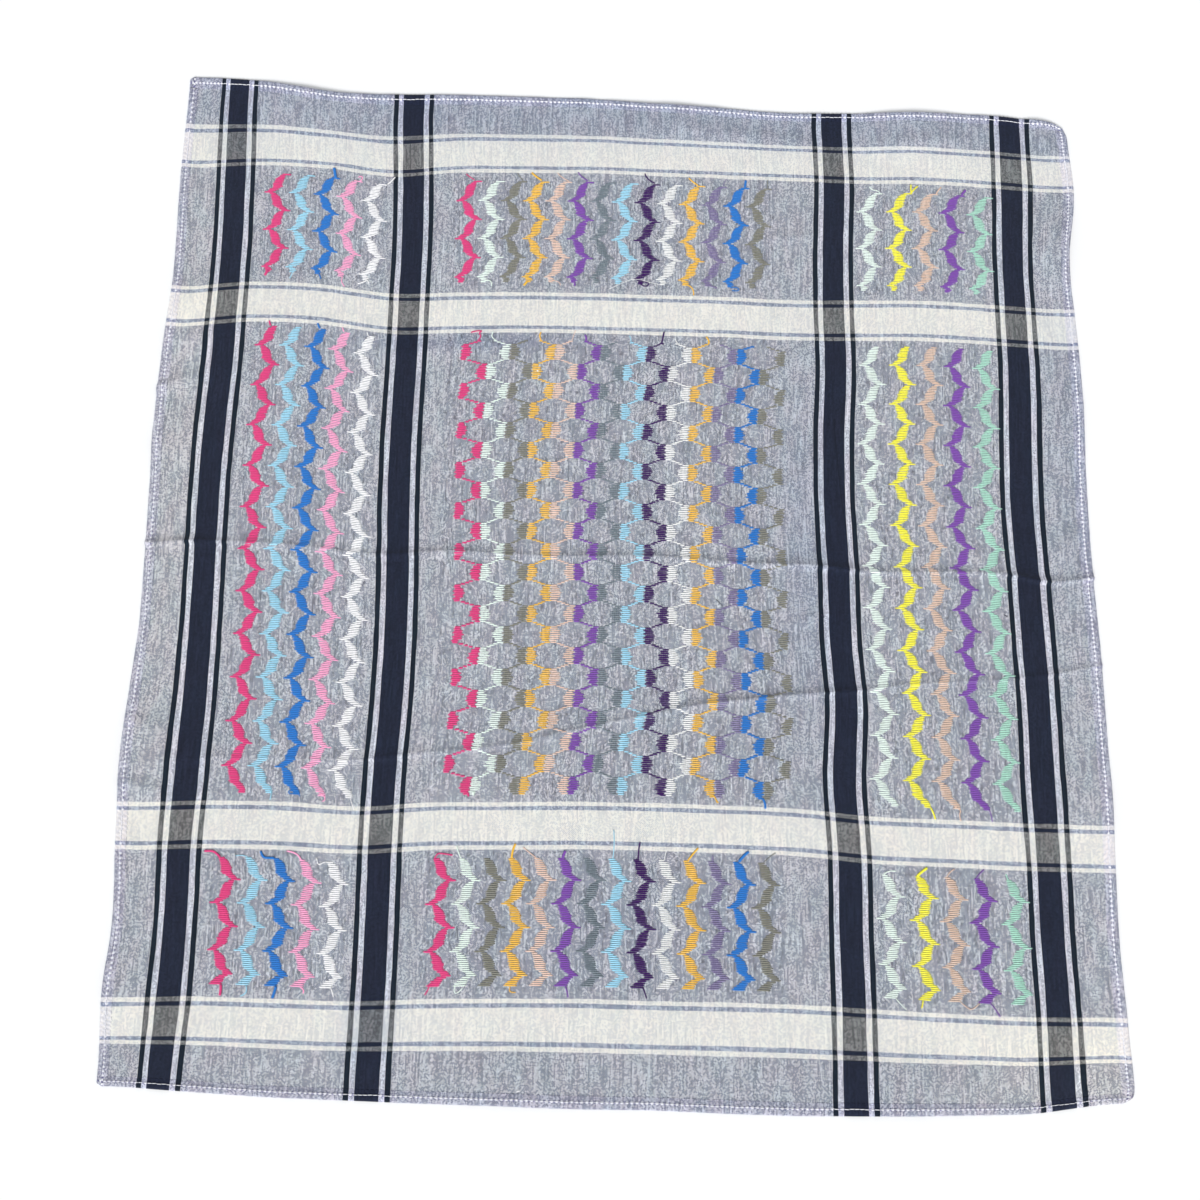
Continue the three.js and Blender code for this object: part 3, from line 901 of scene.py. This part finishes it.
def inlay_strand(work, draw, colour, left, right, up):
    """One level strand of the inlay, a little uneven in length and place. Returns its middle."""
    left += draw.uniform(-UNEVEN_ENDS, UNEVEN_ENDS)
    right += draw.uniform(-UNEVEN_ENDS, UNEVEN_ENDS)
    up += draw.uniform(-UNEVEN_PICKS, UNEVEN_PICKS)
    middle = Vector(((left + right) / 2, up))
    reach = Vector(((right - left) / 2, draw.uniform(-UNEVEN_SLANT, UNEVEN_SLANT)))
    thickness = STRAND_THICKNESS * draw.uniform(STRAND_THINNEST, STRAND_THICKEST)
    add_strand(work, middle, reach, THREADS[colour][1], INLAY_BASE, thickness)
    return middle


def zigzag(work, draw, field, index, row):
    """A chain of leaves down one row, its spurs alternately right and left. Returns both its ends."""
    colour, place = field["colours"][index], field["places"][index]
    strands = []
    for leaf in range(row["leaves"]):
        to_left = (leaf % 2 == 0) == row["first_right"]
        strands += LEAF_MIRRORED if to_left else LEAF
    strands += row["tail"]
    middles = []
    for pick in range(row["skipped"], len(strands)):
        left, right = strands[pick]
        up = row["top"] - field["lower"] - pick * field["pick"]
        middles.append(inlay_strand(work, draw, colour, place + left, place + right, up))
    return middles[0], middles[-1]


# The middle of the cloth: 14 chains that meet in pairs, first with one neighbour and then with the
# other, and leave a net of six-sided gaps. Each block is nine strands, which meet the next chain's
# like two combs, and three short steps lead from it to the next block.
NET_TOP = 130.9
NET_ROWS = 22
NET_ROW_HEIGHT = 12.2
NET_SLOT = 13.45
BLOCK_PITCH = 1.11
BLOCK_REACH = (3.5, 4.4, 5.2, 5.8, 6.0, 5.8, 5.2, 4.4, 3.4)
BLOCK_LEAN = (-1.5, 0.3)
BLOCK_OFFSET = 0.4
COMB = 0.35
LONE_BLOCK_SHIFT = 1.6
LINK_STEPS = 3
LINK_REACH = 1.25
LINK_INSET = 0.8


def net_block(index, row):
    """The nine strands of one block of the net, as left end, right end and height."""
    at_right = (row + index) % 2 == 1
    slot = index + at_right
    edge = MIDDLE_FIELD["places"][0] + slot * NET_SLOT + BLOCK_OFFSET
    alone = 1 if slot == 0 else -1 if slot == len(MIDDLE_FIELD["places"]) else 0
    lean = random.Random(f"lean {slot} {row}").uniform(*BLOCK_LEAN)
    last_pick = len(BLOCK_REACH) - 1
    strands = []
    for pick, reach in enumerate(BLOCK_REACH):
        leaning = lean * (pick / last_pick - 0.5)
        shared = edge + leaning + COMB * (-1) ** pick - alone * LONE_BLOCK_SHIFT
        ends = (shared - reach, shared) if at_right else (shared, shared + reach)
        strands.append((*ends, NET_TOP - row * NET_ROW_HEIGHT - pick * BLOCK_PITCH))
    return strands


def net_chain(work, draw, colour, index):
    """One chain of the net, from the short steps above its first block to its last. Returns its ends."""
    middles = []
    for row in range(-1, NET_ROWS):
        block = net_block(index, row)
        if row >= 0:
            middles += [inlay_strand(work, draw, colour, *strand) for strand in block]
        if row < NET_ROWS - 1:
            left, right, up = block[-1]
            next_left, next_right, next_up = net_block(index, row + 1)[0]
            start = right - LINK_INSET if next_left > left else left + LINK_INSET
            end = next_left + LINK_INSET if next_left > left else next_right - LINK_INSET
            for step in range(1, LINK_STEPS + 1):
                share = step / (LINK_STEPS + 1)
                place = start + (end - start) * share
                height = up + (next_up - up) * share
                link = inlay_strand(work, draw, colour, place - LINK_REACH, place + LINK_REACH, height)
                middles.append(link)
    return middles[0], middles[-1]


# Loose ends: where a chain starts or stops its thread is left hanging, a few millimetres to a
# centimetre long. By field and chain: the row, 0 for its top or 1 for its foot, the width, and
# places across and up from the chain's last strand.
LOOSE_ENDS = {
    ("left", 1): (
        (0, 1, 1.6, (0, 0), (-0.5, -1), (-1.5, -3)),
        (1, 0, 1.0, (-2, 0.5), (-3, 3.5)),
        (2, 0, 1.2, (-1, 0.5), (-2, 1.5), (-5, 4), (-9.5, 3.5)),
        (2, 1, 1.4, (3, -0.5), (3, -6)),
    ),
    ("left", 2): (
        (0, 1, 0.5, (0.5, 0), (-1, -4.5)),
        (1, 1, 0.5, (0.5, 1), (2, 0), (1, -4)),
        (2, 0, 0.5, (-0.5, 0.5), (-3.5, 2), (-7, 1)),
        (2, 1, 0.6, (2, -0.5), (3, -3.5), (1, -5.5), (-0.5, -6)),
    ),
    ("left", 3): (
        (0, 0, 1.9, (0, 0), (-0.5, 3), (-1, 6.5)),
        (0, 1, 0.8, (1, 0), (2.5, -3.5)),
        (1, 0, 1.2, (-2, 0.5), (-3.5, 3.5)),
        (1, 1, 0.5, (1.5, 1), (2, -1.5)),
        (1, 1, 0.6, (-1, 0), (-2, 2), (-4.5, 1), (-3.5, -0.5), (-1, 0)),
        (2, 0, 1.3, (-1, 0.5), (-3.5, 0.5), (-7.5, 0.5), (-8.5, 4)),
        (2, 1, 1.5, (3, -0.5), (2.5, -4), (1.5, -6.5)),
    ),
    ("left", 4): (
        (0, 0, 0.7, (1, 0), (3, 2.5), (1.5, 4), (0, 2.5)),
        (0, 1, 0.6, (1.5, -0.5), (0, -3.5), (3, -6.5)),
        (1, 0, 0.7, (-2, 0.5), (-3, 3)),
        (1, 1, 0.6, (-1, 1), (2, 0), (2, -3), (0.5, -3)),
        (2, 0, 0.9, (-0.5, 0), (-1.5, 2), (-4.5, 4), (-8.5, 4.5)),
        (2, 1, 0.8, (2, -0.5), (4.5, -1.5), (3.5, -3.5)),
    ),
    ("left", 5): (
        (0, 0, 0.8, (3, 0.5), (5, 2), (7.5, 5.5)),
        (0, 1, 0.8, (1, -0.5), (-4, -3.5)),
        (0, 1, 0.7, (1, 0), (3, -1.5), (2, -2.5)),
        (1, 0, 0.6, (-2, 0), (-3, 2.5)),
        (1, 1, 0.5, (1, -0.5), (2, -3.5), (3.5, -6.5)),
        (2, 0, 0.5, (0, -0.5), (-2.5, 0.5), (-5.5, -1.5), (-7, -1.5), (-7.5, 2)),
        (2, 1, 0.6, (3, -0.5), (4.5, -4.5)),
    ),
    ("middle", 1): (
        (0, 0, 0.6, (-2, 1), (-7, 5)),
        (1, 0, 0.8, (-0.5, 0.5), (1.5, 3), (-0.5, 5), (2, 6.5), (-2, 6.5), (-5, 5.5)),
        (1, 1, 1.2, (1, 0.5), (1.5, -1.5)),
        (2, 0, 0.8, (-1, 0.5), (0, 3), (3, 3), (8.5, 2)),
        (2, 1, 0.7, (-2, -0.5), (-4, -4.5)),
    ),
    ("middle", 2): (
        (0, 1, 0.6, (1, 0.5), (5.5, 1.5), (5, -3)),
        (1, 0, 0.6, (0, 0.5), (-1.5, 1.5), (-2.5, 3.5), (-1.5, 6)),
        (1, 1, 1.0, (0.5, 1), (0.5, -1)),
        (2, 0, 0.6, (-0.5, 0.5), (-3, 7)),
        (2, 1, 0.5, (-2, 0), (-3, -2.5), (-1, -4.5), (2, -1)),
    ),
    ("middle", 3): ((0, 0, 0.5, (0.5, 0.5), (-3, 5.5)),),
    ("middle", 4): (
        (0, 0, 1.1, (-2, 1), (-8, 6)),
        (0, 1, 1.3, (-0.5, 0), (-2.5, -2.5)),
        (1, 0, 0.8, (0, 0.5), (-1.5, 3.5), (0, 5.5)),
        (2, 0, 1.2, (0, 0.5), (0.5, 5.5), (2, 8)),
        (2, 1, 0.5, (0, -0.5), (-1.5, -4), (3, -3.5)),
    ),
    ("middle", 5): (
        (0, 0, 0.5, (1, 0.5), (-4, 3), (-6, 6)),
        (0, 1, 0.4, (1, 0.5), (6, 0.5), (6, -2.5)),
        (1, 0, 0.35, (1, 0.5), (1.5, 3), (3, 7)),
        (2, 0, 0.5, (-0.5, 0.5), (-4, 3), (-7.5, 6)),
    ),
    ("middle", 6): (
        (0, 0, 0.7, (-1, 1), (-5.5, 3), (-7, 6.5)),
        (0, 1, 1.0, (1, 0), (1, -2.5)),
        (1, 0, 1.2, (-0.5, 0.5), (0.5, 2.5), (-1, 4)),
        (2, 0, 1.5, (0.5, 0.5), (2, 4)),
        (2, 1, 0.7, (2.5, -0.5), (4, -6)),
    ),
    ("middle", 8): (
        (1, 0, 0.5, (-0.5, 0.5), (-0.5, 2.5), (-1.5, 4.5)),
        (2, 0, 0.5, (0.5, 0.5), (1.5, 6.5), (1, 15.5)),
    ),
    ("middle", 9): (
        (0, 0, 0.8, (-1, 1), (-6, 3), (-7, 7)),
        (0, 1, 0.7, (0, 0), (2, 1.5), (5.5, 0.5), (4.5, -1.5), (1.5, -1.5), (0, 0)),
        (1, 0, 1.0, (0, 0.5), (0.5, 2.5), (1.5, 7.5)),
        (1, 1, 0.6, (-3.5, 1), (-1, 1.5), (1, 1), (-1.5, 0), (-3.5, 1)),
        (2, 0, 0.8, (1, 0.5), (2, 9.5)),
        (2, 1, 0.7, (3, 0), (5, -5.5)),
    ),
    ("middle", 10): (
        (0, 1, 0.3, (0, -0.5), (-8, 1), (-14, 3), (-19.5, 2.5), (-23, 0.5), (-27, -1.5), (-32, -4)),
        (1, 0, 0.5, (0, 0.5), (-1.5, 3.5)),
        (2, 0, 0.4, (1.5, 0.5), (3, 6)),
    ),
    ("middle", 11): (
        (0, 0, 0.8, (-2, 0.5), (-7.5, 5)),
        (0, 1, 0.7, (1, 0), (6, -1), (5.5, -6.5)),
        (1, 0, 1.0, (1, 0.5), (2.5, 1.5), (0, 5)),
        (1, 1, 0.7, (1, 0.5), (2, -2), (3.5, -3.5), (2, -2.5)),
        (2, 0, 0.9, (1, 0.5), (4.5, 5), (6.5, 7)),
    ),
    ("middle", 12): (
        (0, 0, 0.4, (0, 0.5), (2, 5.5)),
        (0, 1, 0.8, (0, 0), (6, -1.5)),
        (2, 0, 0.7, (1, 0.5), (1, 3.5)),
    ),
    ("middle", 13): (
        (0, 0, 1.5, (0, 0.5), (0.5, 5)),
        (0, 1, 0.7, (0.5, -1), (3.5, 0), (6, -1.5), (4.5, -3), (1.5, -2.5)),
        (1, 1, 1.2, (1, 0), (2.5, -2.5), (2, -5.5)),
        (2, 0, 1.5, (1.5, 0.5), (4.5, 4.5), (7, 6)),
    ),
    ("middle", 14): (
        (0, 0, 0.4, (0, 0.5), (0, 6)),
        (2, 0, 0.4, (1.5, 0.5), (8, 6)),
    ),
    ("right", 1): (
        (0, 0, 0.6, (1, 0.5), (-1, 2.5), (-3.5, 2), (-5.5, 4.5)),
        (2, 0, 0.6, (-0.5, 0.5), (1.5, 3), (6, 2.5)),
        (2, 1, 0.4, (3, -0.5), (5.5, -3.5), (8.5, -6)),
    ),
    ("right", 2): (
        (0, 0, 1.0, (2, 0.5), (2, 6)),
        (0, 0, 1.0, (2, 0.5), (6, 5)),
        (1, 1, 1.0, (1.5, -0.5), (3, -3), (3.5, -6.5)),
        (2, 0, 1.4, (-0.5, 0.5), (2, 3), (5, 5)),
        (2, 1, 0.8, (-1, -0.5), (-2, -4.5)),
    ),
    ("right", 3): (
        (0, 0, 0.8, (1.5, 0.5), (4.5, 5)),
        (1, 1, 0.6, (-1, 0.5), (2.5, -1), (0.5, -3.5), (1.5, -7)),
        (2, 0, 0.5, (-0.5, 0.5), (1, 3.5), (4, 5)),
        (2, 1, 0.5, (3, -0.5), (6, -3), (9, -4.5), (13, -0.5)),
    ),
    ("right", 4): (
        (0, 0, 1.4, (0.5, 0.5), (3, 4)),
        (1, 1, 0.5, (1.5, -0.5), (2.5, -6.5)),
        (2, 0, 0.6, (-0.5, 0.5), (4, 5.5)),
        (2, 1, 0.6, (3, -0.5), (7.5, -7)),
    ),
    ("right", 5): ((2, 0, 0.8, (-0.5, 0.5), (-1.5, 3.5)),),
}
LOOSE_END_BOW = 0.07
LOOSE_END_LIFT = 0.25
LOOSE_END_FLATNESS = 0.35
LOOSE_END_MERGE = 0.001


def loose_end(work, width, places):
    """A limp end of thread lying on the cloth, swept along a smooth line."""
    if len(places) == 2:
        start, end = places
        bow = (end - start).orthogonal() * LOOSE_END_BOW
        places = (start, (start + end) / 2 + bow, end)
    line = bpy.data.curves.new("loose_end", "CURVE")
    line.dimensions = "3D"
    line.fill_mode = "FULL"
    line.bevel_depth = width / 2
    line.bevel_resolution = 1
    line.use_fill_caps = True
    line.resolution_u = 5
    spline = line.splines.new("NURBS")
    spline.points.add(len(places) - 1)
    for point, place in zip(spline.points, places):
        point.co = (*place, 0, 1)
    spline.order_u = 3
    spline.use_endpoint_u = True
    holder = bpy.data.objects.new("loose_end", line)
    swept = bpy.data.meshes.new_from_object(holder)
    end_made = bmesh.new()
    end_made.from_mesh(swept)
    bmesh.ops.remove_doubles(end_made, verts=end_made.verts, dist=LOOSE_END_MERGE)
    for vert in end_made.verts:
        vert.co.z = CLOTH_TOP + LOOSE_END_LIFT + LOOSE_END_FLATNESS * (vert.co.z + width / 2)
    end_made.to_mesh(swept)
    end_made.free()
    work.from_mesh(swept)
    bpy.data.objects.remove(holder)
    bpy.data.curves.remove(line)
    bpy.data.meshes.remove(swept)


def inlay_piece(side, field, index):
    """All of one chain: its stretch in each row, and its loose ends."""
    colour = field["colours"][index]
    name = f"inlay_{side}_{index + 1}_{colour}"
    draw = random.Random(name)
    work = bmesh.new()
    ends = []
    for number, row in enumerate(CHECK_ROWS):
        if side == "middle" and number == 1:
            ends.append(net_chain(work, draw, colour, index))
        else:
            ends.append(zigzag(work, draw, field, index, row))
    for number, at_foot, width, *steps in LOOSE_ENDS.get((side, index + 1), ()):
        loose_end(work, width, [ends[number][at_foot] + Vector(step) for step in steps])
    bmesh.ops.recalc_face_normals(work, faces=work.faces)
    return lay_out(name, work, INLAY_FINISHES[colour])


# The lint. Four bits of dark fluff and two of pale thread, a millimetre or more long, are caught in
# the weave and lie on the cloth. Each is given as its width and where it starts and ends on the cut.
LINT = {
    "dark": (
        (0.5, (116.0, -27.5), (118.0, -29.0)),
        (0.5, (220.0, -23.0), (221.5, -24.0)),
        (0.35, (55.5, -21.5), (59.5, -25.5)),
        (0.5, (266.0, -282.0), (267.0, -285.0)),
    ),
    "pale": (
        (0.9, (-49.8, 114.6), (-48.8, 114.2)),
        (0.6, (-49.5, -285.5), (-48.0, -285.0)),
    ),
}

LINT_FINISHES = {"dark": thread_finish("dark_lint", "#23243A"), "pale": INLAY_FINISHES["white"]}

for shade_name, finish in LINT_FINISHES.items():
    lint_made = bmesh.new()
    for width, start, end in LINT[shade_name]:
        loose_end(lint_made, width, [Vector(start), Vector(end)])
    bmesh.ops.recalc_face_normals(lint_made, faces=lint_made.faces)
    lay_out(f"{shade_name}_lint", lint_made, finish)
for side, field in (("left", LEFT_FIELD), ("middle", MIDDLE_FIELD), ("right", RIGHT_FIELD)):
    for index in range(len(field["colours"])):
        inlay_piece(side, field, index)


# The table, the light and the camera. A pale table under soft daylight, seen from nearly overhead.
TABLE_SIZE = 6.0
CAMERA_AIM = Vector((-13.2, -23.9, 0)) * MM
CAMERA_DISTANCE = 734 * MM
CAMERA_ELEVATION = math.radians(77.6)
CAMERA_BEARING = math.radians(4.4)
CAMERA_ROLL = math.radians(5.6)
CAMERA_LENS = 39.0
LIGHT_FROM = (-0.25, -1.0, 0.8)
LIGHT_STRENGTH = 2.6
LIGHT_SPREAD = math.radians(20)
SKY_COLOUR = (0.96, 0.98, 1.0, 1.0)
SKY_STRENGTH = 0.55
TABLE_COLOUR = (0.98, 0.98, 0.98, 1.0)

table_made = bmesh.new()
bmesh.ops.create_grid(table_made, x_segments=1, y_segments=1, size=TABLE_SIZE / 2)
table_mesh = bpy.data.meshes.new("table_top")
table_made.to_mesh(table_mesh)
table_made.free()
table_finish, table_shader, _ = start_finish("table_top", roughness=0.95, sheen=0.0)
table_shader.inputs["Base Color"].default_value = TABLE_COLOUR
table_mesh.materials.append(table_finish)
table = bpy.data.objects.new("table_top", table_mesh)
bpy.context.scene.collection.objects.link(table)

sky = bpy.data.worlds.new("sky")
sky.use_nodes = True
sky.node_tree.nodes["Background"].inputs["Color"].default_value = SKY_COLOUR
sky.node_tree.nodes["Background"].inputs["Strength"].default_value = SKY_STRENGTH
bpy.context.scene.world = sky

sun_data = bpy.data.lights.new("window", "SUN")
sun_data.energy = LIGHT_STRENGTH
sun_data.angle = LIGHT_SPREAD
sun = bpy.data.objects.new("window", sun_data)
sun.rotation_euler = Vector(LIGHT_FROM).to_track_quat("Z", "Y").to_euler()
bpy.context.scene.collection.objects.link(sun)

camera_data = bpy.data.cameras.new("camera")
camera_data.lens = CAMERA_LENS
camera = bpy.data.objects.new("camera", camera_data)
level = math.cos(CAMERA_ELEVATION)
back = Vector(
    (-math.sin(CAMERA_BEARING) * level, -math.cos(CAMERA_BEARING) * level, math.sin(CAMERA_ELEVATION))
)
camera.location = CAMERA_AIM + back * CAMERA_DISTANCE
turn = back.to_track_quat("Z", "Y") @ Quaternion((0, 0, 1), CAMERA_ROLL)
camera.rotation_euler = turn.to_euler()
bpy.context.scene.collection.objects.link(camera)
bpy.context.scene.camera = camera
bpy.context.scene.view_settings.view_transform = "Standard"
